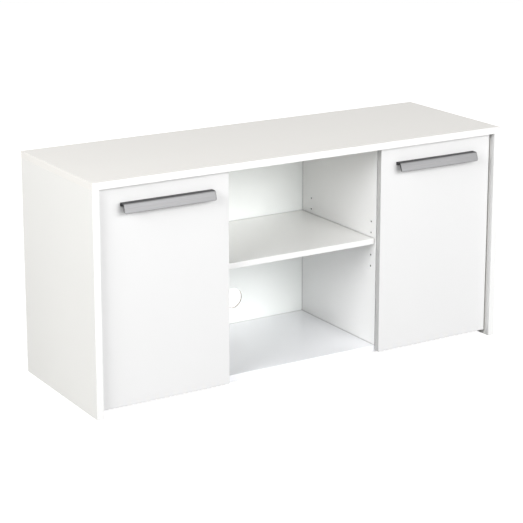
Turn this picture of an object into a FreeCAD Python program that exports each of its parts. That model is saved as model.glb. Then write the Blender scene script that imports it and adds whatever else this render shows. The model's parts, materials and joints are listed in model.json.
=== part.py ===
import FreeCAD, Part
import math
import os

# Aquarium stand cabinet: a flat-pack carcass of white laminated board with an open centre bay,
# an adjustable shelf in it and a hinged door on each side. Millimetres, +X to the right,
# +Y to the rear, +Z up. The origin is on the floor, under the middle of the whole object.

V = FreeCAD.Vector
UP = V(0, 0, 1)
DOWN = V(0, 0, -1)
RIGHT = V(1, 0, 0)
LEFT = V(-1, 0, 0)
REARWARD = V(0, 1, 0)
FORWARD = V(0, -1, 0)

# Driving dimensions
WIDTH = 1200.0
DEPTH = 400.0
HEIGHT = 580.0
BOARD = 18.0
SHELF_BOARD = 15.0
DOOR_BOARD = 16.0
BACK_BOARD = 3.0
EDGE_ROUND = 0.7
DOOR_ROUND = 1.2

FLOOR_GAP = 11.0
BAY_HALF = 225.0
DOOR_RECESS = 15.0
BUMPER_GAP = 2.0
BACK_INSET = 19.0

# Relief at the front corners of the bottom panel, where the edge of an opening door swings by
RELIEF_WIDTH = 26.0
RELIEF_DEPTH = 6.0
RELIEF_ROUND = 3.0

# Door leaf
DOOR_SIDE_GAP = 5.0
DOOR_BAY_GAP = 1.0
DOOR_TOP_GAP = 3.0
DOOR_BOTTOM = 15.0

# Handle: a J-shaped extrusion screwed to the face of the door
HANDLE_LENGTH = 248.0
HANDLE_TOWARDS_BAY = 4.0
HANDLE_REACH = 24.0
HANDLE_DROP = 23.5
HANDLE_BELOW_TOP = 59.0
HANDLE_FLANGE = 16.5
HANDLE_PLATE = 2.5
HANDLE_LIP_HEIGHT = 8.0
HANDLE_LIP_DEPTH = 7.0
HANDLE_BOW = 0.7
HANDLE_BEND = 5.5
HANDLE_CORNER = 5.0
HANDLE_SCREW_SPACING = 224.0
HANDLE_THREAD_DEPTH = 6.2
HANDLE_THREAD_RADIUS = 2.0
HANDLE_HOLE_RADIUS = 2.1

# Adjustable shelf and the holes for its pins
SHELF_UNDERSIDE = 303.5
SHELF_SIDE_PLAY = 1.0
SHELF_BACK_PLAY = 1.0
SHELF_SETBACK = 5.5
SHELF_LIFT = 0.25
PIN_RADIUS = 2.45
PIN_COLLAR_RADIUS = 3.5
PIN_COLLAR = 0.7
PIN_REACH = 7.1
PIN_SEAT = 8.5
PIN_TIP = 0.6
PIN_HOLE_RADIUS = 2.5
PIN_HOLE_DEPTH = 10.0
PIN_HOLE_PITCH = 30.0
PIN_HOLES_PER_COLUMN = 5
PIN_FROM_FRONT = 54.5
PIN_FROM_BACK = 43.0

# Back panel: its cable hole, the groove that holds it and its screws
CABLE_HOLE_RADIUS = 28.0
CABLE_HOLE_HEIGHT = 101.5
GROOVE_DEPTH = 8.0
GROOVE_PLAY = 0.1
BACK_ENGAGEMENT = 7.0
BACK_SCREW_HEIGHTS = (80.0, 290.0, 500.0)

# Single-pivot concealed hinge, placed from its pin
HINGE_FROM_DOOR_END = 100.0
PIN_FROM_DOOR_EDGE = 11.0
PIN_FROM_DOOR_FACE = 9.5
HINGE_PIN_RADIUS = 2.0
HINGE_PIN_HALF = 10.5
HINGE_PIN_CHAMFER = 0.4
EYE_RADIUS = 3.3
EYE_BORE_RADIUS = 2.05
CUP_EDGE = 5.0
CUP_BORE_RADIUS = 17.5
CUP_BORE_DEPTH = 11.5
CUP_RADIUS = 17.4
CUP_DEPTH = 11.3
CUP_WALL = 1.0
CUP_FLANGE = 1.2
CUP_FLANGE_RIM = 1.6
CUP_EAR_FROM = -1.0
CUP_EAR_TO = 17.0
CUP_EAR_HALF = 30.0
CUP_EAR_ROUND = 5.0
CUP_SCREW_OFFSET = 9.0
CUP_SCREW_SPREAD = 24.0
CHEEK_INNER = 6.2
CHEEK_OUTER = 14.0
CHEEK_HALF = 6.0
STRAP_HALF_WIDTH = 5.0
STRAP_THICK = 3.0
STRAP_TURN = 13.0
STRAP_BRIDGE = 19.0
ARM_HALF_WIDTH = 8.0
ARM_WALL = 1.6
ARM_ROOF = 2.0
ARM_RISE = 6.0
ARM_END = 66.0
ARM_SCREWS = (29.0, 58.0)
RAIL_HEIGHT = 5.5
PLATE_THICK = 3.0
PLATE_WING = 37.0
PLATE_WING_HALF = 7.0
PLATE_HALF = 24.0
PLATE_ROUND = 4.0
PLATE_SCREW_SPREAD = 16.0

# Magnetic catch under the top panel and its strike plate on the door
CATCH_FROM_DOOR_EDGE = 48.0
CATCH_WIDTH = 46.0
CATCH_HEIGHT = 13.0
CATCH_DEPTH = 15.0
CATCH_GAP = 0.4
CATCH_WALL = 2.0
CATCH_SCREW_SPREAD = 17.5
MAGNET_HALF = 11.0
MAGNET_DEPTH = 9.0
MAGNET_PLAY = 0.1
POLE_STEP = 0.8
POLE_PLATE = 1.5
STRIKE_THICK = 1.2
STRIKE_HALF_WIDTH = 20.0
STRIKE_LOW = -6.0
STRIKE_HIGH = 4.2
STRIKE_SCREW_OFFSET = 15.0

# Feet under the bottom panel and bumpers on the front edges of the partitions
FOOT_RADIUS = 20.0
FOOT_NECK = 15.0
BUMPER_RADIUS = 4.0
BUMPER_FROM_BOTTOM = 14.0
BUMPER_FROM_TOP = 20.0

# Rows of joints and fasteners, measured rearwards from the front edge of the sides
CAM_ROWS = (90.0, 310.0)
DOWEL_ROWS = (60.0, 345.0)
PARTITION_SCREW_ROWS = (75.0, 325.0)
PARTITION_DOWEL_ROW = 200.0
FOOT_ROWS = (120.0, 280.0)

# Cam fitting and dowel
CAM_REACH = 34.0
CAM_RADIUS = 7.4
CAM_POCKET_RADIUS = 7.5
CAM_POCKET_DEPTH = 13.0
CAM_SLOT_HALF = 5.0
BOLT_CHANNEL_RADIUS = 4.0
BOLT_HOLE_RADIUS = 2.5
BOLT_HOLE_DEPTH = 11.5
DOWEL_RADIUS = 3.95
DOWEL_HOLE_RADIUS = 4.0
DOWEL_SHORT = 10.0
DOWEL_LONG = 19.0

# Long screws that come up through the bottom panel into each partition
LONG_SCREW_SHANK = 3.4
LONG_SCREW_THREAD = 2.4
LONG_SCREW_BITE = 32.0
LONG_SCREW_HEAD = 5.0
LONG_SCREW_SINK = 3.5
SOCKET_RADIUS = 2.1
SOCKET_DEPTH = 3.0

# Places derived from the driving dimensions
HANDLE_PROUD = HANDLE_REACH - DOOR_RECESS
FRONT = HANDLE_PROUD - (DEPTH + HANDLE_PROUD) / 2
REAR = FRONT + DEPTH
SIDE_INNER = WIDTH / 2 - BOARD
SIDE_MIDDLE = SIDE_INNER + BOARD / 2
PARTITION_MIDDLE = BAY_HALF + BOARD / 2
TOP_UNDERSIDE = HEIGHT - BOARD
BOTTOM_TOP = FLOOR_GAP + BOARD
BOTTOM_MIDDLE = FLOOR_GAP + BOARD / 2
DOOR_FACE = FRONT + DOOR_RECESS
DOOR_BACK = DOOR_FACE + DOOR_BOARD
CARCASS_FRONT = DOOR_BACK + BUMPER_GAP
BACK_FACE = REAR - BACK_INSET
BACK_REAR = BACK_FACE + BACK_BOARD
DOOR_OUTER = SIDE_INNER - DOOR_SIDE_GAP
DOOR_INNER = BAY_HALF + DOOR_BAY_GAP
DOOR_TOP = TOP_UNDERSIDE - DOOR_TOP_GAP
DOOR_MIDDLE = (DOOR_OUTER + DOOR_INNER) / 2
PIN_HEIGHT = SHELF_UNDERSIDE - PIN_HOLE_RADIUS - SHELF_LIFT
PIN_ROWS = (FRONT + PIN_FROM_FRONT, BACK_FACE - PIN_FROM_BACK)
HINGE_X = PIN_FROM_DOOR_EDGE - DOOR_OUTER
HINGE_Y = DOOR_FACE + PIN_FROM_DOOR_FACE
HINGE_HEIGHTS = {
    "upper": DOOR_TOP - HINGE_FROM_DOOR_END,
    "lower": DOOR_BOTTOM + HINGE_FROM_DOOR_END,
}
CUP_CENTRE = CUP_EDGE + CUP_BORE_RADIUS - PIN_FROM_DOOR_EDGE
LEAF_BACK = DOOR_BOARD - PIN_FROM_DOOR_FACE
SIDE_FACE = -(SIDE_INNER + HINGE_X)
ARM_LOW = SIDE_FACE + RAIL_HEIGHT
ARM_HIGH = ARM_LOW + ARM_RISE
HANDLE_MIDDLE = HANDLE_TOWARDS_BAY - DOOR_MIDDLE
HANDLE_TOP = HEIGHT - HANDLE_BELOW_TOP
HANDLE_BOTTOM = HANDLE_TOP - HANDLE_DROP
HANDLE_SCREW_HEIGHT = HANDLE_TOP - HANDLE_LIP_HEIGHT / 2
CATCH_FRONT = DOOR_BACK + STRIKE_THICK + CATCH_GAP
CATCH_MIDDLE = -(DOOR_INNER + CATCH_FROM_DOOR_EDGE + CATCH_WIDTH / 2)
CATCH_BOTTOM = TOP_UNDERSIDE - CATCH_HEIGHT
STRIKE_HEIGHT = TOP_UNDERSIDE - CATCH_HEIGHT / 2 - 1.5
STRIKE_SCREW_HEIGHT = STRIKE_HEIGHT - 1.0
BOTH = (-1, 1)

PARTS = {}


def add(name, *solids):
    """Keep the solids of one sub-part under its name."""
    PARTS[name] = Part.makeCompound(list(solids)) if len(solids) > 1 else solids[0]


def mirrored(shape):
    """The same piece on the other side of the cabinet."""
    return shape.mirror(V(0, 0, 0), RIGHT)


def both_sides(shapes):
    """The shapes and their mirror images."""
    return list(shapes) + [mirrored(shape) for shape in shapes]


def block(x0, x1, y0, y1, z0, z1):
    return Part.makeBox(x1 - x0, y1 - y0, z1 - z0, V(x0, y0, z0))


def board(x0, x1, y0, y1, z0, z1, rounding=EDGE_ROUND):
    """A panel with all its edges slightly rounded, as edge banding leaves them."""
    panel = block(x0, x1, y0, y1, z0, z1)
    return panel.makeFillet(rounding, panel.Edges)


def rod(radius, start, direction, length):
    return Part.makeCylinder(radius, length, start, direction)


def turned(start, direction, steps):
    """One turned piece: steps are (radius at start, radius at end, length), end to end."""
    pieces = []
    here = start
    for r0, r1, length in steps:
        if r0 == r1:
            pieces.append(rod(r0, here, direction, length))
        else:
            pieces.append(Part.makeCone(r0, r1, length, here, direction))
        here = here + direction * length
    return pieces[0].fuse(pieces[1:]).removeSplitter().Solids[0]


def prism(points, direction):
    """A prism on the straight-sided outline through points, as long as direction."""
    return Part.Face(Part.makePolygon(points + points[:1])).extrude(direction)


def rounded_wire(corners, place):
    """A closed wire through corners (a, b, radius); place turns (a, b) into a point."""
    stops = []
    count = len(corners)
    for i, (a, b, radius) in enumerate(corners):
        here = V(a, b, 0)
        if radius == 0:
            stops.append((here, None, here))
            continue
        before = V(*corners[i - 1][:2], 0) - here
        after = V(*corners[(i + 1) % count][:2], 0) - here
        before.normalize()
        after.normalize()
        bisector = before + after
        bisector.normalize()
        half = before.getAngle(after) / 2
        reach = radius / math.tan(half)
        middle = here + bisector * (radius / math.sin(half) - radius)
        stops.append((here + before * reach, middle, here + after * reach))
    edges = []
    for i in range(count):
        enter, middle, leave = (None if p is None else place(p.x, p.y) for p in stops[i])
        if middle is not None:
            edges.append(Part.Arc(enter, middle, leave).toShape())
        following = stops[(i + 1) % count][0]
        edges.append(Part.LineSegment(leave, place(following.x, following.y)).toShape())
    return Part.Wire(edges)


def extruded(corners, place, direction):
    """A prism on the rounded outline, as long as direction."""
    return Part.Face(rounded_wire(corners, place)).extrude(direction)


def rectangle(a0, a1, b0, b1, rounding):
    """The corners of a rounded rectangle, for extruded."""
    return [(a0, b0, rounding), (a1, b0, rounding), (a1, b1, rounding), (a0, b1, rounding)]


def cross_recess(top, direction, head_radius):
    """The two bars of a cross recess in the head of a screw."""
    side = RIGHT if abs(direction.z) > 0.5 else direction.cross(UP)
    other = direction.cross(side)
    bars = []
    for long_way, short_way in ((side, other), (other, side)):
        reach = long_way * (head_radius * 0.55)
        half = short_way * (head_radius * 0.13)
        corners = [top - reach - half, top + reach - half, top + reach + half, top - reach + half]
        bars.append(prism(corners, direction * (head_radius * 0.35)))
    return bars


def screw(seat, direction, head, shank_radius, length):
    """A pan-head screw; head is its (radius, height), and it stands on seat."""
    head_radius, head_height = head
    crown = head_height * 0.45
    top = seat - direction * head_height
    point = 2 * shank_radius
    body = turned(
        top,
        direction,
        [
            (head_radius * 0.75, head_radius, crown),
            (head_radius, head_radius, head_height - crown),
            (shank_radius, shank_radius, length - point),
            (shank_radius, shank_radius * 0.2, point),
        ],
    )
    return body.cut(cross_recess(top, direction, head_radius))


class Joint:
    """A cam fitting across a seam: the cuts it needs and its two loose pieces.

    seam is on the seam at mid-board, along points into the board that holds the cam,
    and face is the normal of the side on which the cam shows.
    """

    def __init__(self, seam, along, face):
        surface = seam + along * CAM_REACH + face * (BOARD / 2)
        self.cam_cuts = [
            rod(CAM_POCKET_RADIUS, surface, face * -1, CAM_POCKET_DEPTH),
            rod(BOLT_CHANNEL_RADIUS, seam, along, CAM_REACH),
        ]
        self.bolt_cuts = [rod(BOLT_HOLE_RADIUS, seam, along * -1, BOLT_HOLE_DEPTH)]
        self.bolt = turned(
            seam - along * (BOLT_HOLE_DEPTH - 0.5),
            along,
            [
                (1.6, 2.4, 1.5),
                (2.4, 2.4, BOLT_HOLE_DEPTH - 2.0),
                (3.6, 3.6, 1.5),
                (2.2, 2.2, CAM_REACH - 5.0),
                (3.2, 2.6, 3.5),
            ],
        )
        cavity = rod(BOLT_CHANNEL_RADIUS - 0.3, seam, along, CAM_REACH + 3.0)
        length = along * CAM_SLOT_HALF
        width = along.cross(face) * 0.8
        slot_corners = [
            surface - length - width,
            surface + length - width,
            surface + length + width,
            surface - length + width,
        ]
        disc = rod(CAM_RADIUS, surface - face * 0.2, face * -1, CAM_POCKET_DEPTH - 0.4)
        self.disc = disc.cut([cavity, prism(slot_corners, face * -2.0)])


class Dowel:
    """A wooden dowel across a seam, its longer end along the given direction."""

    def __init__(self, seam, along):
        self.long_cuts = [rod(DOWEL_HOLE_RADIUS, seam, along, DOWEL_LONG + 1.0)]
        self.short_cuts = [rod(DOWEL_HOLE_RADIUS, seam, along * -1, DOWEL_SHORT + 1.0)]
        self.pin = turned(
            seam - along * DOWEL_SHORT,
            along,
            [
                (DOWEL_RADIUS - 0.8, DOWEL_RADIUS, 1.0),
                (DOWEL_RADIUS, DOWEL_RADIUS, DOWEL_SHORT + DOWEL_LONG - 2.0),
                (DOWEL_RADIUS, DOWEL_RADIUS - 0.8, 1.0),
            ],
        )


def cuts(pieces, kind):
    """All the cuts of one kind that a list of joints or dowels needs."""
    return [cut for piece in pieces for cut in getattr(piece, kind)]


def groove(x0, x1, z0, z1):
    """The space that a groove for the back panel takes out of a board."""
    return block(x0, x1, BACK_FACE - GROOVE_PLAY, BACK_REAR + GROOVE_PLAY, z0, z1)


# ---- Joints on the left half of the cabinet; the right half mirrors them ----
def row_point(x, row, z):
    return V(x, FRONT + row, z)


side_top_cams = [Joint(row_point(-SIDE_MIDDLE, row, TOP_UNDERSIDE), DOWN, RIGHT) for row in CAM_ROWS]
partition_top_cams = [
    Joint(row_point(-PARTITION_MIDDLE, row, TOP_UNDERSIDE), DOWN, LEFT) for row in CAM_ROWS
]
bottom_cams = [Joint(row_point(-SIDE_INNER, row, BOTTOM_MIDDLE), RIGHT, DOWN) for row in CAM_ROWS]
side_top_dowels = [Dowel(row_point(-SIDE_MIDDLE, row, TOP_UNDERSIDE), DOWN) for row in DOWEL_ROWS]
partition_top_dowels = [
    Dowel(row_point(-PARTITION_MIDDLE, row, TOP_UNDERSIDE), DOWN) for row in DOWEL_ROWS
]
bottom_side_dowels = [Dowel(row_point(-SIDE_INNER, row, BOTTOM_MIDDLE), RIGHT) for row in DOWEL_ROWS]
partition_foot_dowel = Dowel(row_point(-PARTITION_MIDDLE, PARTITION_DOWEL_ROW, BOTTOM_TOP), UP)


def long_screw(row):
    """A countersunk screw through the bottom panel, driven with a hexagonal key."""
    start = row_point(-PARTITION_MIDDLE, row, FLOOR_GAP + 0.5)
    body = turned(
        start,
        UP,
        [
            (LONG_SCREW_HEAD, LONG_SCREW_SHANK, LONG_SCREW_SINK - 0.5),
            (LONG_SCREW_SHANK, LONG_SCREW_SHANK, BOARD - LONG_SCREW_SINK - 0.5),
            (LONG_SCREW_THREAD, LONG_SCREW_THREAD, LONG_SCREW_BITE - 3.0),
            (LONG_SCREW_THREAD, 0.8, 3.0),
        ],
    )
    angles = [math.radians(60 * k) for k in range(6)]
    hexagon = [start + V(math.cos(a), math.sin(a), 0) * SOCKET_RADIUS for a in angles]
    return body.cut(prism(hexagon, UP * SOCKET_DEPTH))


def long_screw_clearance(row):
    """The countersunk hole for a long screw in the bottom panel."""
    mouth = row_point(-PARTITION_MIDDLE, row, FLOOR_GAP)
    hole = rod(LONG_SCREW_SHANK + 0.1, mouth, UP, BOARD)
    sink = Part.makeCone(LONG_SCREW_HEAD + 0.6, LONG_SCREW_SHANK + 0.1, LONG_SCREW_SINK, mouth, UP)
    return hole.fuse(sink)


def long_screw_thread(row):
    """The pilot hole for a long screw in the partition."""
    start = row_point(-PARTITION_MIDDLE, row, BOTTOM_TOP)
    return rod(LONG_SCREW_THREAD + 0.05, start, UP, LONG_SCREW_BITE + 1.0)


# ---- Hinge, drawn about its pin, for the left door ----
def hinge_point(a, b, height):
    """a is measured from the pin away from the side panel, b rearwards."""
    return V(HINGE_X + a, HINGE_Y + b, height)


def above_and_below(height, spread):
    return [height - spread, height + spread]


def hinge_cup(height):
    """The cup sunk in the door, with two cheeks that hold the pin and a flange with ears."""
    centre = hinge_point(CUP_CENTRE, LEAF_BACK, height)
    body = rod(CUP_RADIUS, centre, FORWARD, CUP_DEPTH)
    flange = rod(CUP_RADIUS + CUP_FLANGE_RIM, centre, REARWARD, CUP_FLANGE)
    ears = extruded(
        rectangle(CUP_EAR_FROM, CUP_EAR_TO, -CUP_EAR_HALF, CUP_EAR_HALF, CUP_EAR_ROUND),
        lambda a, b: centre + V(a, 0, b),
        REARWARD * CUP_FLANGE,
    )
    mouth = centre + REARWARD * CUP_FLANGE
    pocket = rod(CUP_RADIUS - CUP_WALL, mouth, FORWARD, CUP_DEPTH + CUP_FLANGE - CUP_WALL)
    cheeks = [
        block(
            HINGE_X - CHEEK_HALF,
            HINGE_X + CHEEK_HALF,
            HINGE_Y + LEAF_BACK - CUP_DEPTH,
            HINGE_Y + LEAF_BACK,
            height + low,
            height + high,
        ).common(body)
        for low, high in ((-CHEEK_OUTER, -CHEEK_INNER), (CHEEK_INNER, CHEEK_OUTER))
    ]
    shell = body.fuse([flange, ears]).cut(pocket).fuse(cheeks).removeSplitter()
    pin_end = HINGE_PIN_HALF + 0.1
    bore = rod(HINGE_PIN_RADIUS + 0.02, hinge_point(0, 0, height - pin_end), UP, 2 * pin_end)
    ear_holes = [
        rod(2.0, hinge_point(CUP_CENTRE + CUP_SCREW_OFFSET, LEAF_BACK, z), REARWARD, CUP_FLANGE)
        for z in above_and_below(height, CUP_SCREW_SPREAD)
    ]
    return shell.cut([bore] + ear_holes).Solids[0]


def hinge_pin(height):
    tip = HINGE_PIN_CHAMFER
    return turned(
        hinge_point(0, 0, height - HINGE_PIN_HALF),
        UP,
        [
            (HINGE_PIN_RADIUS - tip, HINGE_PIN_RADIUS, tip),
            (HINGE_PIN_RADIUS, HINGE_PIN_RADIUS, 2 * (HINGE_PIN_HALF - tip)),
            (HINGE_PIN_RADIUS, HINGE_PIN_RADIUS - tip, tip),
        ],
    )


def hinge_strap(height):
    """The bent strap that reaches from the pin round the edge of the door to the arm."""
    half = STRAP_THICK / 2
    inside = STRAP_TURN - STRAP_THICK
    outline = [
        (0.0, -half, 0),
        (STRAP_TURN, -half, 3.6),
        (STRAP_TURN, STRAP_BRIDGE, 5.0),
        (ARM_LOW, STRAP_BRIDGE, 0),
        (ARM_LOW, STRAP_BRIDGE - STRAP_THICK, 0),
        (inside, STRAP_BRIDGE - STRAP_THICK, 2.0),
        (inside, half, 0.6),
        (0.0, half, 0),
    ]
    low = height - STRAP_HALF_WIDTH
    strap = extruded(outline, lambda a, b: hinge_point(a, b, low), UP * (2 * STRAP_HALF_WIDTH))
    eye = rod(EYE_RADIUS, hinge_point(0, 0, low), UP, 2 * STRAP_HALF_WIDTH)
    return strap.fuse(eye)


def hinge_arm(height):
    """The cranked arm: the strap and the channel that is screwed on the mounting plate."""
    low = height - ARM_HALF_WIDTH
    start = STRAP_BRIDGE - STRAP_THICK
    channel = extruded(
        [(ARM_LOW, start, 0), (ARM_HIGH, start, 1.5), (ARM_HIGH, ARM_END, 4.0), (ARM_LOW, ARM_END, 0)],
        lambda a, b: hinge_point(a, b, low),
        UP * (2 * ARM_HALF_WIDTH),
    )
    roof = ARM_HIGH - ARM_ROOF
    hollow_start = STRAP_BRIDGE + 1.5
    hollow = extruded(
        [
            (ARM_LOW - 1.0, hollow_start, 0),
            (roof, hollow_start, 1.0),
            (roof, ARM_END + 1.0, 0),
            (ARM_LOW - 1.0, ARM_END + 1.0, 0),
        ],
        lambda a, b: hinge_point(a, b, low + ARM_WALL),
        UP * (2 * (ARM_HALF_WIDTH - ARM_WALL)),
    )
    arm = hinge_strap(height).fuse(channel).removeSplitter()
    bore_start = hinge_point(0, 0, height - STRAP_HALF_WIDTH)
    bore = rod(EYE_BORE_RADIUS, bore_start, UP, 2 * STRAP_HALF_WIDTH)
    screw_holes = [rod(2.6, hinge_point(ARM_LOW, b, height), RIGHT, ARM_RISE) for b in ARM_SCREWS]
    return arm.cut([bore, hollow] + screw_holes).Solids[0]


def mounting_plate(height):
    """The plate screwed to the side panel, with the rail that carries the arm."""
    place = lambda a, b: hinge_point(SIDE_FACE, a, height + b)
    wing_from, wing_to = PLATE_WING - PLATE_WING_HALF, PLATE_WING + PLATE_WING_HALF
    wing_outline = rectangle(wing_from, wing_to, -PLATE_HALF, PLATE_HALF, PLATE_ROUND)
    wing = extruded(wing_outline, place, RIGHT * PLATE_THICK)
    rail_half = ARM_HALF_WIDTH - 2.0
    rail_outline = rectangle(STRAP_BRIDGE + 3.0, ARM_END - 1.0, -rail_half, rail_half, 1.5)
    rail = extruded(rail_outline, place, RIGHT * (RAIL_HEIGHT - 0.1))
    holes = [
        rod(1.9, hinge_point(SIDE_FACE, PLATE_WING, z), RIGHT, PLATE_THICK)
        for z in above_and_below(height, PLATE_SCREW_SPREAD)
    ]
    threads = [rod(1.7, hinge_point(SIDE_FACE, b, height), RIGHT, RAIL_HEIGHT) for b in ARM_SCREWS]
    return wing.fuse(rail).removeSplitter().cut(holes + threads).Solids[0]


def cup_screws(height):
    a, b = CUP_CENTRE + CUP_SCREW_OFFSET, LEAF_BACK + CUP_FLANGE
    return [
        screw(hinge_point(a, b, z), FORWARD, (3.2, 1.8), 1.6, 12.0)
        for z in above_and_below(height, CUP_SCREW_SPREAD)
    ]


def plate_screws(height):
    return [
        screw(hinge_point(SIDE_FACE + PLATE_THICK, PLATE_WING, z), LEFT, (3.6, 2.2), 1.75, 15.0)
        for z in above_and_below(height, PLATE_SCREW_SPREAD)
    ]


def arm_screws(height):
    return [screw(hinge_point(ARM_HIGH, b, height), LEFT, (3.4, 2.0), 1.6, 10.0) for b in ARM_SCREWS]


# ---- Magnetic catch and its strike plate ----
def catch_screw_points(z):
    middle = CATCH_FRONT + CATCH_DEPTH / 2
    return [V(CATCH_MIDDLE + side * CATCH_SCREW_SPREAD, middle, z) for side in BOTH]


def magnetic_catch():
    """The plastic housing; the magnet sits in the pocket in its front."""
    half = CATCH_WIDTH / 2
    housing = extruded(
        [(-half, 0, 1.5), (half, 0, 1.5), (half, CATCH_DEPTH, 4.0), (-half, CATCH_DEPTH, 4.0)],
        lambda a, b: V(CATCH_MIDDLE + a, CATCH_FRONT + b, CATCH_BOTTOM),
        UP * CATCH_HEIGHT,
    )
    pocket = block(
        CATCH_MIDDLE - MAGNET_HALF,
        CATCH_MIDDLE + MAGNET_HALF,
        CATCH_FRONT - 1.0,
        CATCH_FRONT + MAGNET_DEPTH,
        CATCH_BOTTOM + CATCH_WALL,
        TOP_UNDERSIDE - CATCH_WALL,
    )
    screw_holes = [rod(1.8, p, UP, CATCH_HEIGHT) for p in catch_screw_points(CATCH_BOTTOM)]
    return housing.cut([pocket] + screw_holes).Solids[0]


def catch_magnet():
    """The magnet between its two pole plates, which stand proud of it."""
    half = MAGNET_HALF - MAGNET_PLAY
    low = CATCH_BOTTOM + CATCH_WALL + MAGNET_PLAY
    high = TOP_UNDERSIDE - CATCH_WALL - MAGNET_PLAY
    x0, x1 = CATCH_MIDDLE - half, CATCH_MIDDLE + half
    whole = block(x0, x1, CATCH_FRONT, CATCH_FRONT + MAGNET_DEPTH - MAGNET_PLAY, low, high)
    step = block(x0, x1, CATCH_FRONT, CATCH_FRONT + POLE_STEP, low + POLE_PLATE, high - POLE_PLATE)
    return whole.cut(step)


def catch_screws():
    return [screw(p, UP, (3.0, 1.6), 1.5, 24.0) for p in catch_screw_points(CATCH_BOTTOM)]


def strike_screw_points():
    return [
        V(CATCH_MIDDLE + side * STRIKE_SCREW_OFFSET, DOOR_BACK, STRIKE_SCREW_HEIGHT) for side in BOTH
    ]


def strike_plate():
    plate = extruded(
        rectangle(-STRIKE_HALF_WIDTH, STRIKE_HALF_WIDTH, STRIKE_LOW, STRIKE_HIGH, 3.0),
        lambda a, b: V(CATCH_MIDDLE + a, DOOR_BACK, STRIKE_HEIGHT + b),
        REARWARD * STRIKE_THICK,
    )
    return plate.cut([rod(2.6, p, REARWARD, STRIKE_THICK) for p in strike_screw_points()])


def strike_screws():
    """Screws with heads that lie within the thickness of the strike plate."""
    return [screw(p, FORWARD, (2.5, 1.1), 1.4, 11.0) for p in strike_screw_points()]


# ---- Handle ----
def handle_screw_points(y):
    return [
        V(HANDLE_MIDDLE + side * HANDLE_SCREW_SPACING / 2, y, HANDLE_SCREW_HEIGHT) for side in BOTH
    ]


def handle_corners():
    """What is taken off the lower corners of the plate to round them."""
    front, rear = DOOR_FACE - HANDLE_REACH - 1.0, DOOR_FACE - HANDLE_LIP_DEPTH - 1.0
    arc_height = HANDLE_BOTTOM + HANDLE_CORNER
    corners = []
    for side in BOTH:
        end = HANDLE_MIDDLE + side * (HANDLE_LENGTH / 2 + 1.0)
        arc_x = HANDLE_MIDDLE + side * (HANDLE_LENGTH / 2 - HANDLE_CORNER)
        waste = block(min(end, arc_x), max(end, arc_x), front, rear, HANDLE_BOTTOM - 1.0, arc_height)
        corners.append(waste.cut(rod(HANDLE_CORNER, V(arc_x, front, arc_height), REARWARD, rear - front)))
    return corners


def handle():
    """J profile: a base bar on the door, a flange forward from it and a plate that flares down."""
    middle = (HANDLE_FLANGE + HANDLE_REACH) / 2 + HANDLE_BOW
    middle_height = (HANDLE_TOP + HANDLE_BOTTOM) / 2
    under_flange = HANDLE_TOP - HANDLE_PLATE
    profile = [
        (0.0, HANDLE_TOP, 0.4),
        (HANDLE_FLANGE, HANDLE_TOP, HANDLE_BEND),
        (middle, middle_height, 50.0),
        (HANDLE_REACH, HANDLE_BOTTOM + 0.4, 1.0),
        (HANDLE_REACH - HANDLE_PLATE, HANDLE_BOTTOM, 1.0),
        (middle - HANDLE_PLATE - 0.1, middle_height, 50.0),
        (HANDLE_FLANGE - HANDLE_PLATE - 0.4, under_flange, HANDLE_BEND - HANDLE_PLATE),
        (HANDLE_LIP_DEPTH, under_flange, 1.0),
        (HANDLE_LIP_DEPTH, HANDLE_TOP - HANDLE_LIP_HEIGHT, 0.8),
        (0.0, HANDLE_TOP - HANDLE_LIP_HEIGHT, 0.4),
    ]
    left_end = HANDLE_MIDDLE - HANDLE_LENGTH / 2
    body = extruded(profile, lambda a, b: V(left_end, DOOR_FACE - a, b), RIGHT * HANDLE_LENGTH)
    threads = [
        rod(HANDLE_THREAD_RADIUS, p, FORWARD, HANDLE_THREAD_DEPTH) for p in handle_screw_points(DOOR_FACE)
    ]
    return body.cut(threads + handle_corners())


def handle_screws():
    return [
        screw(p, FORWARD, (4.0, 2.4), HANDLE_THREAD_RADIUS - 0.05, DOOR_BOARD + HANDLE_THREAD_DEPTH - 0.2)
        for p in handle_screw_points(DOOR_BACK)
    ]


# ---- Door leaf ----
def hinge_holes_in_leaf(height):
    cup = rod(CUP_BORE_RADIUS, hinge_point(CUP_CENTRE, LEAF_BACK, height), FORWARD, CUP_BORE_DEPTH)
    pilots = [
        rod(1.7, hinge_point(CUP_CENTRE + CUP_SCREW_OFFSET, LEAF_BACK, z), FORWARD, CUP_BORE_DEPTH)
        for z in above_and_below(height, CUP_SCREW_SPREAD)
    ]
    return [cup] + pilots


def door_leaf():
    leaf = board(-DOOR_OUTER, -DOOR_INNER, DOOR_FACE, DOOR_BACK, DOOR_BOTTOM, DOOR_TOP, DOOR_ROUND)
    holes = [hole for height in HINGE_HEIGHTS.values() for hole in hinge_holes_in_leaf(height)]
    holes += [rod(HANDLE_HOLE_RADIUS, p, REARWARD, DOOR_BOARD) for p in handle_screw_points(DOOR_FACE)]
    holes += [rod(1.5, p, FORWARD, 11.5) for p in strike_screw_points()]
    return leaf.cut(holes)


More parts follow.
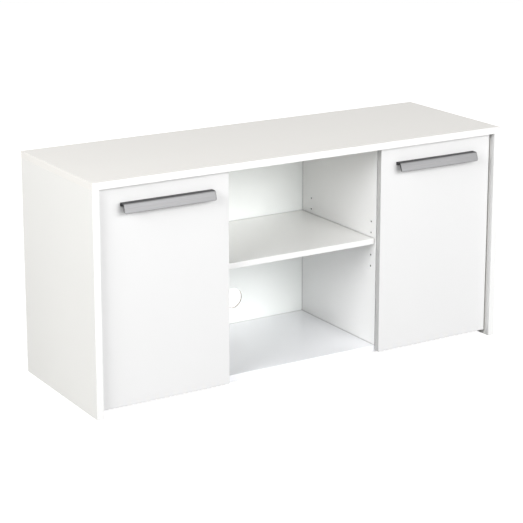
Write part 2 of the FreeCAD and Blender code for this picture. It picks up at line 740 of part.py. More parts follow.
# ---- Boards ----
def side_panel():
    panel = board(-WIDTH / 2, -SIDE_INNER, FRONT, REAR, 0, TOP_UNDERSIDE)
    holes = []
    for height in HINGE_HEIGHTS.values():
        for z in above_and_below(height, PLATE_SCREW_SPREAD):
            holes.append(rod(1.85, hinge_point(SIDE_FACE, PLATE_WING, z), LEFT, 13.0))
        holes += [rod(1.7, hinge_point(SIDE_FACE, b, height), LEFT, 1.0) for b in ARM_SCREWS]
    groove_floor = -SIDE_INNER - GROOVE_DEPTH
    holes.append(groove(groove_floor, -SIDE_INNER, BOTTOM_TOP - GROOVE_DEPTH, TOP_UNDERSIDE))
    holes += cuts(side_top_cams, "cam_cuts") + cuts(side_top_dowels, "long_cuts")
    holes += cuts(bottom_cams, "bolt_cuts") + cuts(bottom_side_dowels, "short_cuts")
    return panel.cut(holes)


def partition():
    outer = PARTITION_MIDDLE + BOARD / 2
    panel = board(-outer, -BAY_HALF, CARCASS_FRONT, BACK_FACE, BOTTOM_TOP, TOP_UNDERSIDE)
    lowest = PIN_HEIGHT - PIN_HOLES_PER_COLUMN // 2 * PIN_HOLE_PITCH
    holes = [
        rod(PIN_HOLE_RADIUS, V(-BAY_HALF, y, lowest + k * PIN_HOLE_PITCH), LEFT, PIN_HOLE_DEPTH)
        for y in PIN_ROWS
        for k in range(PIN_HOLES_PER_COLUMN)
    ]
    holes += [long_screw_thread(row) for row in PARTITION_SCREW_ROWS]
    holes += [rod(1.55, V(-PARTITION_MIDDLE, BACK_FACE, z), FORWARD, 13.0) for z in BACK_SCREW_HEIGHTS]
    holes += cuts(partition_top_cams, "cam_cuts") + cuts(partition_top_dowels, "long_cuts")
    holes += partition_foot_dowel.long_cuts
    return panel.cut(holes)


def top_panel():
    panel = board(-WIDTH / 2, WIDTH / 2, FRONT, REAR, TOP_UNDERSIDE, HEIGHT)
    holes = [rod(1.6, p, UP, 12.0) for p in catch_screw_points(TOP_UNDERSIDE)]
    holes += cuts(side_top_cams + partition_top_cams, "bolt_cuts")
    holes += cuts(side_top_dowels + partition_top_dowels, "short_cuts")
    half = SIDE_INNER + GROOVE_DEPTH
    back_groove = groove(-half, half, TOP_UNDERSIDE, TOP_UNDERSIDE + GROOVE_DEPTH)
    return panel.cut(both_sides(holes) + [back_groove])


def corner_relief():
    """The step in the front corner of the bottom panel, beside the side panel."""
    outer, inner = -SIDE_INNER - 1.0, -SIDE_INNER + RELIEF_WIDTH
    front, rear = CARCASS_FRONT - 1.0, CARCASS_FRONT + RELIEF_DEPTH
    corners = [(outer, front, 0), (inner, front, 0), (inner, rear, RELIEF_ROUND), (outer, rear, 0)]
    return extruded(corners, lambda a, b: V(a, b, FLOOR_GAP), UP * BOARD)


def bottom_panel():
    panel = board(-SIDE_INNER, SIDE_INNER, CARCASS_FRONT, REAR, FLOOR_GAP, BOTTOM_TOP)
    holes = [corner_relief()]
    holes += [long_screw_clearance(row) for row in PARTITION_SCREW_ROWS]
    holes += [rod(1.85, row_point(-PARTITION_MIDDLE, row, FLOOR_GAP), UP, 12.0) for row in FOOT_ROWS]
    holes += cuts(bottom_cams, "cam_cuts") + cuts(bottom_side_dowels, "long_cuts")
    holes += partition_foot_dowel.short_cuts
    back_groove = groove(-SIDE_INNER, SIDE_INNER, BOTTOM_TOP - GROOVE_DEPTH, BOTTOM_TOP)
    return panel.cut(both_sides(holes) + [back_groove])


def back_panel():
    half = SIDE_INNER + BACK_ENGAGEMENT
    low, high = BOTTOM_TOP - BACK_ENGAGEMENT, TOP_UNDERSIDE + BACK_ENGAGEMENT
    panel = block(-half, half, BACK_FACE, BACK_REAR, low, high)
    cable_hole = rod(CABLE_HOLE_RADIUS, V(0, BACK_FACE, CABLE_HOLE_HEIGHT), REARWARD, BACK_BOARD)
    screw_holes = [
        rod(1.6, V(-PARTITION_MIDDLE, BACK_FACE, z), REARWARD, BACK_BOARD) for z in BACK_SCREW_HEIGHTS
    ]
    return panel.cut([cable_hole] + both_sides(screw_holes))


def back_screws():
    return [
        screw(V(-PARTITION_MIDDLE, BACK_REAR, z), FORWARD, (3.2, 1.8), 1.5, 15.0)
        for z in BACK_SCREW_HEIGHTS
    ]


def shelf():
    half = BAY_HALF - SHELF_SIDE_PLAY
    front, rear = CARCASS_FRONT + SHELF_SETBACK, BACK_FACE - SHELF_BACK_PLAY
    return board(-half, half, front, rear, SHELF_UNDERSIDE, SHELF_UNDERSIDE + SHELF_BOARD)


def shelf_pins():
    """Two pegs with collars in the middle holes of the left partition."""
    return [
        turned(
            V(-BAY_HALF - PIN_SEAT, y, PIN_HEIGHT),
            RIGHT,
            [
                (PIN_RADIUS - PIN_TIP, PIN_RADIUS, PIN_TIP),
                (PIN_RADIUS, PIN_RADIUS, PIN_SEAT - PIN_TIP),
                (PIN_COLLAR_RADIUS, PIN_COLLAR_RADIUS, PIN_COLLAR),
                (PIN_RADIUS, PIN_RADIUS, PIN_REACH - PIN_TIP),
                (PIN_RADIUS, PIN_RADIUS - PIN_TIP, PIN_TIP),
            ],
        )
        for y in PIN_ROWS
    ]


# ---- Feet and bumpers ----
def support_foot(row):
    """A low foot under the bottom panel, below the partition, hollowed for its screw head."""
    centre = row_point(-PARTITION_MIDDLE, row, 0)
    body = turned(
        centre,
        UP,
        [
            (FOOT_RADIUS - 1.0, FOOT_RADIUS, 1.0),
            (FOOT_RADIUS, FOOT_RADIUS, 3.0),
            (FOOT_RADIUS, FOOT_NECK, 4.0),
            (FOOT_NECK, FOOT_NECK, FLOOR_GAP - 8.0),
        ],
    )
    return body.cut([rod(5.0, centre, UP, 5.0), rod(2.0, centre, UP, FLOOR_GAP)])


def foot_screws():
    return [
        screw(row_point(-PARTITION_MIDDLE, row, 5.0), UP, (4.0, 2.4), 1.75, 17.5) for row in FOOT_ROWS
    ]


def bumpers():
    """Soft discs on the front edge of the partition, which the closed door rests against."""
    heights = (BOTTOM_TOP + BUMPER_FROM_BOTTOM, TOP_UNDERSIDE - BUMPER_FROM_TOP)
    steps = [(BUMPER_RADIUS, BUMPER_RADIUS, 1.0), (BUMPER_RADIUS, BUMPER_RADIUS - 0.8, 0.8)]
    return [turned(V(-PARTITION_MIDDLE, CARCASS_FRONT, z), FORWARD, steps) for z in heights]


# ---- The whole cabinet ----
def add_middle():
    """Boards that span the cabinet, and the shelf with its pins."""
    add("top_panel", top_panel())
    add("bottom_panel", bottom_panel())
    add("back_panel", back_panel())
    add("centre_shelf", shelf())
    add("shelf_pins", *both_sides(shelf_pins()))


def add_pairs():
    """Pieces that stand once on each side."""
    pairs = {
        "side_panel": side_panel(),
        "partition": partition(),
        "door_leaf": door_leaf(),
        "handle": handle(),
        "magnetic_catch": magnetic_catch(),
        "strike_plate": strike_plate(),
    }
    for level, height in HINGE_HEIGHTS.items():
        pairs[level + "_hinge_cup"] = hinge_cup(height)
        pairs[level + "_hinge_pin"] = hinge_pin(height)
        pairs[level + "_hinge_arm"] = hinge_arm(height)
        pairs[level + "_mounting_plate"] = mounting_plate(height)
    for foot, row in zip(("front", "rear"), FOOT_ROWS):
        pairs[foot + "_foot"] = support_foot(row)
    for name, shape in pairs.items():
        add("left_" + name, shape)
        add("right_" + name, mirrored(shape))


def add_door_fasteners():
    """Screws of the doors and hinges, one group for each side."""
    heights = HINGE_HEIGHTS.values()
    groups = {
        "cup_screws": [piece for z in heights for piece in cup_screws(z)],
        "plate_screws": [piece for z in heights for piece in plate_screws(z)],
        "arm_screws": [piece for z in heights for piece in arm_screws(z)],
        "handle_screws": handle_screws(),
        "strike_screws": strike_screws(),
    }
    for name, shapes in groups.items():
        add("left_" + name, *shapes)
        add("right_" + name, *[mirrored(shape) for shape in shapes])


def add_carcass_fittings():
    """Fittings of the carcass, one group for both sides."""
    groups = {
        "top_cam_discs": [joint.disc for joint in side_top_cams + partition_top_cams],
        "top_cam_bolts": [joint.bolt for joint in side_top_cams + partition_top_cams],
        "bottom_cam_discs": [joint.disc for joint in bottom_cams],
        "bottom_cam_bolts": [joint.bolt for joint in bottom_cams],
        "top_dowels": [dowel.pin for dowel in side_top_dowels + partition_top_dowels],
        "bottom_dowels": [dowel.pin for dowel in bottom_side_dowels + [partition_foot_dowel]],
        "partition_screws": [long_screw(row) for row in PARTITION_SCREW_ROWS],
        "back_panel_screws": back_screws(),
        "foot_screws": foot_screws(),
        "catch_screws": catch_screws(),
        "catch_magnets": [catch_magnet()],
        "door_bumpers": bumpers(),
    }
    for name, shapes in groups.items():
        add(name, *both_sides(shapes))


def export():
    os.makedirs("parts", exist_ok=True)
    for name, shape in PARTS.items():
        if not shape.isValid() or any(solid.Volume <= 0 for solid in shape.Solids):
            raise RuntimeError(name + " is not a valid solid")
        shape.exportStep("parts/" + name + ".step")
    print(len(PARTS), "sub-parts written")


add_middle()
add_pairs()
add_door_fasteners()
add_carcass_fittings()
export()
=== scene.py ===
import json
import math

import bmesh
import bpy
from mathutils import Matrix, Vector


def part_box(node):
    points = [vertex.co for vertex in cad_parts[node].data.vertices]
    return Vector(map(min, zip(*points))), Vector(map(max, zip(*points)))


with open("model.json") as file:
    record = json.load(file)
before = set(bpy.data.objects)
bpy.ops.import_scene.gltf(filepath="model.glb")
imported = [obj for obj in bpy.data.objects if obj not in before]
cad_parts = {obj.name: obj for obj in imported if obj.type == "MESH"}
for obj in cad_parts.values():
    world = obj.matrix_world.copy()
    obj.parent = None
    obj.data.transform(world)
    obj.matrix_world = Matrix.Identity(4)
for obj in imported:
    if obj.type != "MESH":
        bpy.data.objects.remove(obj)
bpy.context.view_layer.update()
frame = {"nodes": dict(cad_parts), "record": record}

MM = 0.001

# Camera, placed from the front face of the left side panel
CAMERA_OFFSET = (-2.2914, -3.4899, 1.5341)
CAMERA_YAW = math.radians(-31.62)
CAMERA_PITCH = math.radians(13.11)
CAMERA_LENS = 119.13
CAMERA_SHIFT_Y = -0.194

# Boards: thickness of the laminate skin and of the edge banding, half the width of its glue line,
# reach of the painted shade in a corner, width of the painted-shade strip on an inner face, how near
# a face counts as on it, and how far from an edge the wear is full and how far it reaches
SKIN = 0.4 * MM
BAND = 1.0 * MM
BAND_LINE = 0.12 * MM
CORNER_SHADE_REACH = 4.0 * MM
INNER_SHADE_STRIP = 14.0 * MM
ON_FACE = 0.3 * MM
WORN = (0.2 * MM, 2.5 * MM)

# Handles: length of the painted shade at the ends, height at which the painted shade on the lower rim
# starts to fade and is gone, and distance from the rear at which the painted shade behind the plate
# starts and is full
HANDLE_END_SHADE = 1.0 * MM
HANDLE_RIM_SHADE = (1.5 * MM, 3.2 * MM)
HANDLE_BEHIND_SHADE = (8.0 * MM, 6.5 * MM)

# Colours
WHITE = (0.90, 0.90, 0.895)
WHITE_SHADE = (0.875, 0.875, 0.87)
WARM_WHITE = (0.905, 0.885, 0.845)
WARM_WHITE_SHADE = (0.885, 0.865, 0.825)
SIDE_WHITE = (0.90, 0.895, 0.865)
SIDE_WHITE_SHADE = (0.875, 0.87, 0.84)
# Painted shade on the front strip of the side panels' inner faces
SIDE_INNER_PAINTED_SHADE = (0.64, 0.64, 0.635)
# Painted shade: the front edges toned below the board's own white
FRONT_EDGE_PAINTED_SHADE = (0.75, 0.75, 0.745)
# Painted shade: the shelf's white toned below the board's own white
SHELF_WHITE_WITH_PAINTED_SHADE = (0.83, 0.83, 0.82)
SHELF_WHITE_SHADE_WITH_PAINTED_SHADE = (0.80, 0.80, 0.79)
# Painted shade: the doors' white toned below the board's own white
DOOR_WHITE_WITH_PAINTED_SHADE = (0.68, 0.68, 0.68)
DOOR_WHITE_SHADE_WITH_PAINTED_SHADE = (0.67, 0.67, 0.67)
# Painted shade on the doors' edge towards the cabinet's middle
DOOR_EDGE_PAINTED_SHADE = (0.50, 0.50, 0.495)
COOL_WHITE = (0.885, 0.892, 0.915)
COOL_WHITE_SHADE = (0.865, 0.872, 0.895)
GREENISH_WHITE = (0.90, 0.925, 0.91)
GREENISH_WHITE_SHADE = (0.86, 0.885, 0.87)
CHIP_LIGHT = (0.26, 0.18, 0.11)
CHIP_DARK = (0.07, 0.04, 0.022)
# Painted shade deep in holes and grooves
CHIP_DEEP_PAINTED_SHADE = (0.012, 0.009, 0.007)
FIBRE_LIGHT = (0.38, 0.24, 0.14)
FIBRE_DARK = (0.24, 0.14, 0.075)
GLUE_LINE = (0.70, 0.69, 0.66)
# Painted shade in the corners where boards meet
CORNER_SHADE_GREY = (0.20, 0.20, 0.20)
METAL_LIGHT = (0.305, 0.305, 0.31)
METAL_SHADE = (0.125, 0.125, 0.128)
METAL_PATCH = (0.26, 0.26, 0.26)
# Painted shade on the handles' lower rim
METAL_RIM_PAINTED_SHADE = (0.19, 0.19, 0.193)
# Painted shade on the handles' ends and flange, and a painted dark reflection on faces turned up
METAL_PAINTED_SHADE_AND_REFLECTION = (0.055, 0.055, 0.057)
BEECH_LIGHT = (0.68, 0.49, 0.30)
BEECH_DARK = (0.45, 0.28, 0.15)
BUMPER_LIGHT = (0.86, 0.87, 0.88)
BUMPER_SHADE = (0.78, 0.80, 0.81)
FLOOR_LIGHT = (0.36, 0.36, 0.36)
FLOOR_SHADE = (0.34, 0.34, 0.34)

# Stage: half the floor's width, its glow for the camera, and the sky as light and in reflections
FLOOR_HALF = 15.0
FLOOR_GLOW = 0.92
SKY_STRENGTH = 0.03
SKY_REFLECTED = 0.78
SKY_SEEN = 1.0
LIGHT_TARGET = (0.0, -0.2, 0.3)

X, Y, Z = range(3)


class Graph:
    """The shader nodes of one material, added by short calls."""

    def __init__(self, name):
        self.material = bpy.data.materials.new(name)
        self.material.use_nodes = True
        self.tree = self.material.node_tree
        self.shader = self.tree.nodes["Principled BSDF"]
        self.position = self.add("ShaderNodeTexCoord").outputs["Object"]

    def add(self, kind, **settings):
        node = self.tree.nodes.new(kind)
        for key, value in settings.items():
            setattr(node, key, value)
        return node

    def feed(self, socket, value):
        """Link a socket to another, or set it to a number or a colour."""
        if isinstance(value, bpy.types.NodeSocket):
            self.tree.links.new(value, socket)
        elif isinstance(value, tuple) and len(value) == 3 and socket.type == "RGBA":
            socket.default_value = (*value, 1.0)
        else:
            socket.default_value = value

    def maths(self, operation, *values):
        node = self.add("ShaderNodeMath", operation=operation)
        for socket, value in zip(node.inputs, values):
            self.feed(socket, value)
        return node.outputs[0]

    def least(self, *values):
        result = values[0]
        for value in values[1:]:
            result = self.maths("MINIMUM", result, value)
        return result

    def mix(self, factor, a, b):
        node = self.add("ShaderNodeMix", data_type="RGBA")
        self.feed(node.inputs[0], factor)
        self.feed(node.inputs[6], a)
        self.feed(node.inputs[7], b)
        return node.outputs[2]

    def spread(self, value, low, high):
        """A value from 0 to 1 stretched to the range from low to high."""
        node = self.add("ShaderNodeMapRange")
        self.feed(node.inputs["Value"], value)
        self.feed(node.inputs["To Min"], low)
        self.feed(node.inputs["To Max"], high)
        return node.outputs[0]

    def step(self, value, start, end):
        """0 below start and 1 above end, with a smooth change between them."""
        node = self.add("ShaderNodeMapRange", interpolation_type="SMOOTHSTEP")
        self.feed(node.inputs["Value"], value)
        self.feed(node.inputs["From Min"], start)
        self.feed(node.inputs["From Max"], end)
        return node.outputs[0]

    def scaled(self, stretch):
        """The position, multiplied along each axis."""
        node = self.add("ShaderNodeVectorMath", operation="MULTIPLY")
        self.feed(node.inputs[0], self.position)
        node.inputs[1].default_value = stretch
        return node.outputs[0]

    def noise(self, scale, detail=2.0, stretch=(1.0, 1.0, 1.0), roughness=0.5):
        node = self.add("ShaderNodeTexNoise")
        self.feed(node.inputs["Vector"], self.scaled(stretch))
        node.inputs["Scale"].default_value = scale
        node.inputs["Detail"].default_value = detail
        node.inputs["Roughness"].default_value = roughness
        return node.outputs["Fac"]

    def cells(self, scale, stretch=(1.0, 1.0, 1.0)):
        node = self.add("ShaderNodeTexVoronoi")
        self.feed(node.inputs["Vector"], self.scaled(stretch))
        node.inputs["Scale"].default_value = scale
        return node.outputs["Color"]

    def axes(self):
        node = self.add("ShaderNodeSeparateXYZ")
        self.feed(node.inputs[0], self.position)
        return node.outputs

    def normal_axes(self):
        node = self.add("ShaderNodeSeparateXYZ")
        self.feed(node.inputs[0], self.add("ShaderNodeTexCoord").outputs["Normal"])
        return node.outputs

    def seam(self):
        """Painted shade: 1 in the open, falling towards a corner where two boards meet."""
        node = self.add("ShaderNodeAmbientOcclusion", samples=8)
        node.inputs["Distance"].default_value = CORNER_SHADE_REACH
        return self.step(node.outputs["AO"], 0.35, 1.0)

    def bump(self, height, strength, distance):
        node = self.add("ShaderNodeBump")
        node.inputs["Strength"].default_value = strength
        node.inputs["Distance"].default_value = distance
        self.feed(node.inputs["Height"], height)
        return node.outputs["Normal"]

    def finish(self, **inputs):
        """Feed the shader's own sockets; names use _ for a space."""
        for name, value in inputs.items():
            self.feed(self.shader.inputs[name.replace("_", " ")], value)
        return self.material


# ---- Materials ----
def chipboard(graph, depth):
    """Colour and height of raw particle board in a hole or a groove, with painted shade deeper in."""
    flakes = graph.cells(900.0, (1.0, 1.0, 2.2))
    grey = graph.add("ShaderNodeRGBToBW")
    graph.feed(grey.inputs[0], flakes)
    grain = graph.noise(2600.0, 3.0)
    tone = graph.maths("MULTIPLY", grey.outputs[0], grain)
    colour = graph.mix(graph.spread(tone, 0.0, 2.2), CHIP_DARK, CHIP_LIGHT)
    # Painted shade: the raw board turns nearly black deeper in
    dim = graph.step(depth, SKIN, 1.6 * SKIN)
    return graph.mix(graph.maths("MULTIPLY", dim, 0.96), colour, CHIP_DEEP_PAINTED_SHADE), tone


def margins(graph, node):
    """How deep a point lies inside the node's box: from its broad faces, and from its edges."""
    low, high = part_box(node)
    size = high - low
    thin = min((X, Y, Z), key=lambda axis: size[axis])
    depths = []
    for axis, place in enumerate(graph.axes()):
        below = graph.maths("SUBTRACT", place, low[axis])
        above = graph.maths("SUBTRACT", high[axis], place)
        depths.append(graph.maths("MINIMUM", below, above))
    face = depths.pop(thin)
    return face, graph.least(*depths)


def board(
    node,
    light=WHITE,
    shade=WHITE_SHADE,
    gloss=0.34,
    streaks=(1.0, 1.0, 0.25),
    front=None,
    inner=None,
    corner_shading=True,
):
    """White laminated particle board: satin skin, edge banding with its joint, raw holes.

    front is the colour of the front edge, and inner that of the strip at the front of the face
    towards the cabinet's middle, both painted shade toned below the skin; seams paints shade
    into the corners where the board meets another.
    """
    graph = Graph("laminate_" + node)
    face_depth, edge_depth = margins(graph, node)
    depth = graph.least(face_depth, edge_depth)
    inside = graph.maths("GREATER_THAN", depth, SKIN)
    joint = graph.maths("COMPARE", edge_depth, BAND, BAND_LINE)
    cloud = graph.noise(5.0, 1.0, streaks)
    fine = graph.noise(140.0, 2.0, streaks)
    tone = graph.maths("ADD", graph.maths("MULTIPLY", cloud, 0.8), graph.maths("MULTIPLY", fine, 0.2))
    skin = graph.mix(tone, shade, light)
    skin = graph.mix(graph.maths("MULTIPLY", joint, 0.4), skin, GLUE_LINE)
    low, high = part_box(node)
    # Painted shade on the front edge
    if front:
        on_front = graph.maths("LESS_THAN", graph.axes()[Y], low.y + ON_FACE)
        skin = graph.mix(on_front, skin, front)
    # Painted shade on the strip at the front of the face towards the cabinet's middle
    if inner:
        inner_x = high.x if high.x < 0.0 else low.x
        on_inner = graph.maths("COMPARE", graph.axes()[X], inner_x, ON_FACE)
        near_front = graph.maths("LESS_THAN", graph.axes()[Y], low.y + INNER_SHADE_STRIP)
        skin = graph.mix(graph.maths("MULTIPLY", on_inner, near_front), skin, inner)
    # Painted shade in the corners where the board meets another
    if corner_shading:
        skin = graph.mix(graph.seam(), graph.mix(0.5, skin, CORNER_SHADE_GREY), skin)
    raw, raw_height = chipboard(graph, depth)
    worn = graph.maths("SUBTRACT", 1.0, graph.step(edge_depth, *WORN))
    smudge = graph.noise(9.0, 2.0)
    skin_gloss = graph.spread(smudge, gloss - 0.05, gloss + 0.06)
    skin_gloss = graph.maths("ADD", skin_gloss, graph.maths("MULTIPLY", worn, 0.05))
    roughness = graph.maths("MAXIMUM", skin_gloss, graph.maths("MULTIPLY", inside, 0.85))
    peel = graph.maths("MULTIPLY", graph.noise(420.0, 2.0), 0.35)
    pits = graph.maths("MULTIPLY", graph.maths("MULTIPLY", raw_height, inside), 3.0)
    return graph.finish(
        Base_Color=graph.mix(inside, skin, raw),
        Roughness=roughness,
        Normal=graph.bump(graph.maths("ADD", peel, pits), 0.25, 0.05 * MM),
        IOR=1.5,
        Coat_Weight=0.25,
        Coat_Roughness=0.12,
    )


def hardboard(node):
    """Back panel: white lacquer in front, bare brown fibre behind and in the holes."""
    graph = Graph("hardboard_" + node)
    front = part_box(node)[0].y
    bare = graph.step(graph.axes()[Y], front + 0.5 * SKIN, front + SKIN)
    fibre = graph.noise(500.0, 5.0, (1.0, 1.0, 0.35), 0.7)
    speck = graph.noise(90.0, 4.0)
    tone = graph.spread(graph.maths("MULTIPLY", fibre, speck), -0.3, 2.6)
    brown = graph.mix(tone, FIBRE_DARK, FIBRE_LIGHT)
    cloud = graph.noise(5.0, 3.0)
    white = graph.mix(cloud, GREENISH_WHITE_SHADE, GREENISH_WHITE)
    # Painted shade in the corners where the back meets the boards
    white = graph.mix(graph.seam(), graph.mix(0.5, white, CORNER_SHADE_GREY), white)
    return graph.finish(
        Base_Color=graph.mix(bare, white, brown),
        Roughness=graph.spread(bare, 0.34, 0.8),
        Normal=graph.bump(fibre, 0.12, 0.08 * MM),
    )


def brushed_handle(node):
    """Aluminium extrusion: front plate brushed lengthways; the flange and the ends carry painted
    shade, the faces turned up a painted dark reflection, and the lower rim a painted shade.
    """
    graph = Graph("brushed_" + node)
    low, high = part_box(node)
    x, y, z = graph.axes()
    lines = graph.noise(60.0, 3.0, (0.30, 18.0, 18.0), 0.65)
    patches = graph.noise(18.0, 2.0, (0.4, 1.0, 1.0))
    metal = graph.mix(lines, METAL_SHADE, METAL_LIGHT)
    metal = graph.mix(graph.spread(patches, 0.0, 0.35), metal, METAL_PATCH)
    # Painted shade on the lower rim
    rim = graph.maths("SUBTRACT", 1.0, graph.step(z, low.z + HANDLE_RIM_SHADE[0], low.z + HANDLE_RIM_SHADE[1]))
    metal = graph.mix(graph.maths("MULTIPLY", rim, 0.6), metal, METAL_RIM_PAINTED_SHADE)
    # Painted dark reflection on faces turned up
    faces_up_painted_dark = graph.step(graph.normal_axes()[Z], 0.80, 0.95)
    # Painted shade on the ends and on the flange behind the plate
    from_end = graph.least(graph.maths("SUBTRACT", x, low.x), graph.maths("SUBTRACT", high.x, x))
    ends_painted_shade = graph.maths("LESS_THAN", from_end, HANDLE_END_SHADE)
    behind = graph.step(y, high.y - HANDLE_BEHIND_SHADE[0], high.y - HANDLE_BEHIND_SHADE[1])
    dark = graph.maths("MAXIMUM", graph.maths("MAXIMUM", faces_up_painted_dark, ends_painted_shade), behind)
    return graph.finish(
        Base_Color=graph.mix(dark, metal, METAL_PAINTED_SHADE_AND_REFLECTION),
        Metallic=0.7,
        Roughness=graph.spread(lines, 0.50, 0.62),
        Anisotropic=0.3,
        Normal=graph.bump(lines, 0.10, 0.03 * MM),
    )


def plated(name, light, dark, roughness):
    """Plated or cast metal, slightly clouded."""
    graph = Graph(name)
    cloud = graph.noise(220.0, 4.0)
    grain = graph.noise(1800.0, 2.0)
    return graph.finish(
        Base_Color=graph.mix(cloud, dark, light),
        Metallic=1.0,
        Roughness=graph.spread(cloud, roughness - 0.06, roughness + 0.10),
        Normal=graph.bump(grain, 0.06, 0.02 * MM),
    )


def moulded(name, light, dark):
    """Moulded plastic with a fine eroded texture."""
    graph = Graph(name)
    cloud = graph.noise(80.0, 3.0)
    texture = graph.noise(2400.0, 2.0)
    return graph.finish(
        Base_Color=graph.mix(cloud, dark, light),
        Roughness=graph.spread(texture, 0.37, 0.53),
        Normal=graph.bump(texture, 0.15, 0.03 * MM),
    )


def beech(name):
    """Beech dowel: fine grain with short dark flecks."""
    graph = Graph(name)
    grain = graph.noise(300.0, 4.0, (1.0, 1.0, 0.2), 0.6)
    return graph.finish(
        Base_Color=graph.mix(graph.step(grain, 0.3, 0.75), BEECH_DARK, BEECH_LIGHT),
        Roughness=graph.spread(grain, 0.55, 0.75),
        Normal=graph.bump(grain, 0.2, 0.05 * MM),
    )


def soft_bumper(name):
    """Clear soft plastic, a little cloudy."""
    graph = Graph(name)
    cloud = graph.noise(400.0, 2.0)
    return graph.finish(
        Base_Color=graph.mix(cloud, BUMPER_SHADE, BUMPER_LIGHT),
        Roughness=graph.spread(cloud, 0.18, 0.3),
        Transmission_Weight=0.5,
        IOR=1.45,
    )


def studio_floor(name):
    """Matt floor of faint unevenness: pale to the camera, grey as a source of bounced light."""
    graph = Graph(name)
    cloud = graph.noise(1.5, 3.0)
    seen = graph.add("ShaderNodeLightPath").outputs["Is Camera Ray"]
    return graph.finish(
        Base_Color=graph.mix(cloud, FLOOR_SHADE, FLOOR_LIGHT),
        Roughness=0.9,
        Emission_Color=(1.0, 1.0, 1.0),
        Emission_Strength=graph.maths("MULTIPLY", seen, FLOOR_GLOW),
    )


# ---- Finishes of the carried-over nodes ----
def materials_by_slot():
    """One material for each slot of the small parts: colour in the light, in the dark, roughness."""
    return {
        "nickel_steel": plated("nickel_plate", (0.72, 0.70, 0.67), (0.60, 0.585, 0.56), 0.26),
        "zinc_steel": plated("zinc_plate", (0.68, 0.69, 0.71), (0.52, 0.53, 0.55), 0.34),
        "cam_zinc": plated("die_cast_zinc", (0.50, 0.50, 0.51), (0.38, 0.38, 0.39), 0.48),
        "beech": beech("beech_dowel"),
        "white_plastic": moulded("white_plastic", (0.84, 0.84, 0.83), (0.79, 0.79, 0.78)),
        "ferrite": plated("ferrite_magnet", (0.16, 0.16, 0.17), (0.06, 0.06, 0.065), 0.42),
        "clear_rubber": soft_bumper("clear_bumper"),
    }


def finish_nodes():
    by_slot = materials_by_slot()
    lengthways = (0.5, 1.0, 1.0)
    # Painted shade on the front edges of the top and the shelf
    level = {
        "top_panel": dict(light=WARM_WHITE, shade=WARM_WHITE_SHADE, gloss=0.38, front=FRONT_EDGE_PAINTED_SHADE),
        "bottom_panel": dict(light=COOL_WHITE, shade=COOL_WHITE_SHADE, gloss=0.12),
        # Painted shade on the shelf's white
        "centre_shelf": dict(
            light=SHELF_WHITE_WITH_PAINTED_SHADE, shade=SHELF_WHITE_SHADE_WITH_PAINTED_SHADE, gloss=0.10, front=FRONT_EDGE_PAINTED_SHADE
        ),
    }
    # The doors' white and their edge towards the middle carry painted shade
    door = dict(light=DOOR_WHITE_WITH_PAINTED_SHADE, shade=DOOR_WHITE_SHADE_WITH_PAINTED_SHADE, inner=DOOR_EDGE_PAINTED_SHADE, corner_shading=False)
    # Painted shade on the side panels' front edge and on their inner strip
    side = dict(
        light=SIDE_WHITE, shade=SIDE_WHITE_SHADE, front=FRONT_EDGE_PAINTED_SHADE, inner=SIDE_INNER_PAINTED_SHADE, corner_shading=False
    )
    slots = {entry["node"]: entry["material_slot"] for entry in frame["record"]["subparts"]}
    for node, piece in frame["nodes"].items():
        if node in level:
            material = board(node, streaks=lengthways, **level[node])
        elif node == "back_panel":
            material = hardboard(node)
        elif node.endswith("_door_leaf"):
            material = board(node, **door)
        elif node.endswith("_side_panel"):
            material = board(node, **side)
        elif node.endswith("_handle"):
            material = brushed_handle(node)
        elif slots[node] in by_slot:
            material = by_slot[slots[node]]
        else:
            material = board(node)
        piece.data.materials.clear()
        piece.data.materials.append(material)


# ---- Stage ----
def make_floor():
    mesh = bpy.data.meshes.new("studio_floor")
    grid = bmesh.new()
    bmesh.ops.create_grid(grid, x_segments=8, y_segments=8, size=FLOOR_HALF)
    grid.to_mesh(mesh)
    grid.free()
    floor = bpy.data.objects.new("studio_floor", mesh)
    bpy.context.collection.objects.link(floor)
    floor.data.materials.append(studio_floor("studio_floor"))


def make_camera():
    data = bpy.data.cameras.new("camera")
    data.lens = CAMERA_LENS
    data.sensor_width = 36.0
    data.shift_y = CAMERA_SHIFT_Y
    camera = bpy.data.objects.new("camera", data)
    bpy.context.collection.objects.link(camera)
    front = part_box("left_side_panel")[0].y
    offset_x, offset_y, height = CAMERA_OFFSET
    camera.location = (offset_x, front + offset_y, height)
    camera.rotation_euler = (math.pi / 2 - CAMERA_PITCH, 0.0, CAMERA_YAW)
    bpy.context.scene.camera = camera


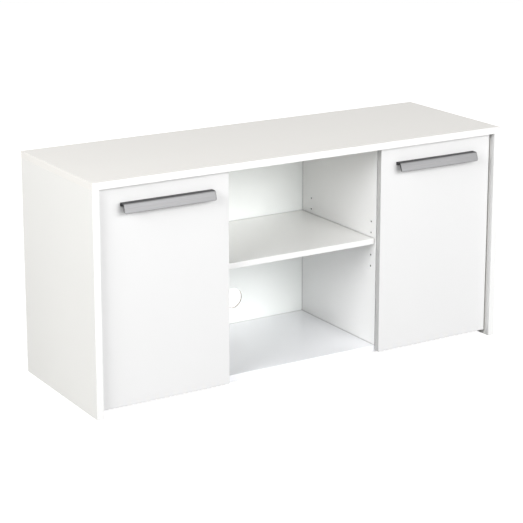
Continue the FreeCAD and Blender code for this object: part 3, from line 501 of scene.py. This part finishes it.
def softbox(name, azimuth, elevation, distance, size, power, reflected=True):
    """A rectangular soft light aimed at the middle of the front.

    Azimuth 0 is straight ahead of the front, and a positive one lies to the right. A light that
    isn't reflected shows in no glossy surface.
    """
    data = bpy.data.lights.new(name, "AREA")
    data.shape = "RECTANGLE"
    data.size, data.size_y = size
    data.energy = power
    lamp = bpy.data.objects.new(name, data)
    bpy.context.collection.objects.link(lamp)
    turn, rise = math.radians(azimuth), math.radians(elevation)
    away = Vector(
        (math.sin(turn) * math.cos(rise), -math.cos(turn) * math.cos(rise), math.sin(rise))
    )
    lamp.location = Vector(LIGHT_TARGET) + away * distance
    lamp.rotation_euler = (-away).to_track_quat("-Z", "Y").to_euler()
    lamp.visible_camera = False
    lamp.visible_glossy = reflected


def sky():
    """A dim white dome, brighter in reflections; the camera itself sees pure white."""
    world = bpy.data.worlds.new("studio")
    world.use_nodes = True
    tree = world.node_tree
    background = tree.nodes["Background"]
    background.inputs["Color"].default_value = (1.0, 1.0, 1.0, 1.0)
    path = tree.nodes.new("ShaderNodeLightPath")
    strength = background.inputs["Strength"]
    for ray, level in (("Is Camera Ray", SKY_SEEN), ("Is Glossy Ray", SKY_REFLECTED)):
        choice = tree.nodes.new("ShaderNodeMix")
        otherwise, chosen = choice.inputs[2], choice.inputs[3]
        chosen.default_value = level
        tree.links.new(path.outputs[ray], choice.inputs[0])
        tree.links.new(choice.outputs[0], strength)
        strength = otherwise
    strength.default_value = SKY_STRENGTH
    bpy.context.scene.world = world


def make_lights():
    """Nine soft lights: azimuth and elevation in degrees, distance and size in metres, watts."""
    softbox("key_softbox", 5, 26, 5.3, (3.4, 2.0), 207.0)
    softbox("low_softbox", 5, 5, 5.3, (3.4, 1.1), 56.0)
    softbox("right_softbox", 35, 12, 5.3, (2.5, 2.2), 54.0)
    softbox("left_softbox", -68, 25, 4.8, (2.0, 2.0), 131.0)
    softbox("left_overhead_softbox", -85, 45, 4.2, (2.0, 2.0), 37.0)
    softbox("side_softbox", -97, 18, 4.2, (2.2, 2.0), 21.0)
    softbox("rear_overhead_softbox", 124, 50, 4.2, (2.2, 2.2), 16.0)
    softbox("right_side_softbox", 98, 14, 4.6, (2.2, 2.0), 48.0)
    softbox("rear_softbox", 180, 8, 5.0, (3.0, 1.8), 115.0, reflected=False)
    sky()
    bpy.context.scene.view_settings.view_transform = "Standard"


finish_nodes()
make_floor()
make_camera()
make_lights()
